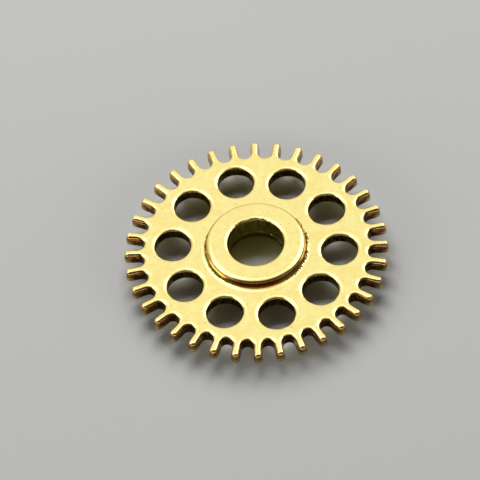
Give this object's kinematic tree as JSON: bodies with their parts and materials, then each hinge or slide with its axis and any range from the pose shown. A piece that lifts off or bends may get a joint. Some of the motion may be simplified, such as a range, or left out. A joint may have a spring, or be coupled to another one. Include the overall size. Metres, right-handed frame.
{
  "type": "spur gear",
  "caption": "Small thin spur gear with slim round-tipped teeth, a ring of round lightening holes and a raised bored hub on both faces.",
  "frame": {"origin": "on the gear's axis, in the plane of the rear collar's outer face, on which the gear rests", "axes": "+Z along the gear's axis from the rear face to the front face; +X through the middle of one tooth"},
  "size_m": [0.026, 0.026, 0.003],
  "materials": {
    "wheel_gilt": "polished gilt over a fine cast surface, dark in its recesses",
    "hub_gilt": "polished gilt, a little duller, dark where it meets the wheel"
  },
  "bodies": {
    "root": {"toothed_wheel": "wheel_gilt", "hub_bush": "hub_gilt", "rear_collar": "hub_gilt"}
  },
  "joints": []
}
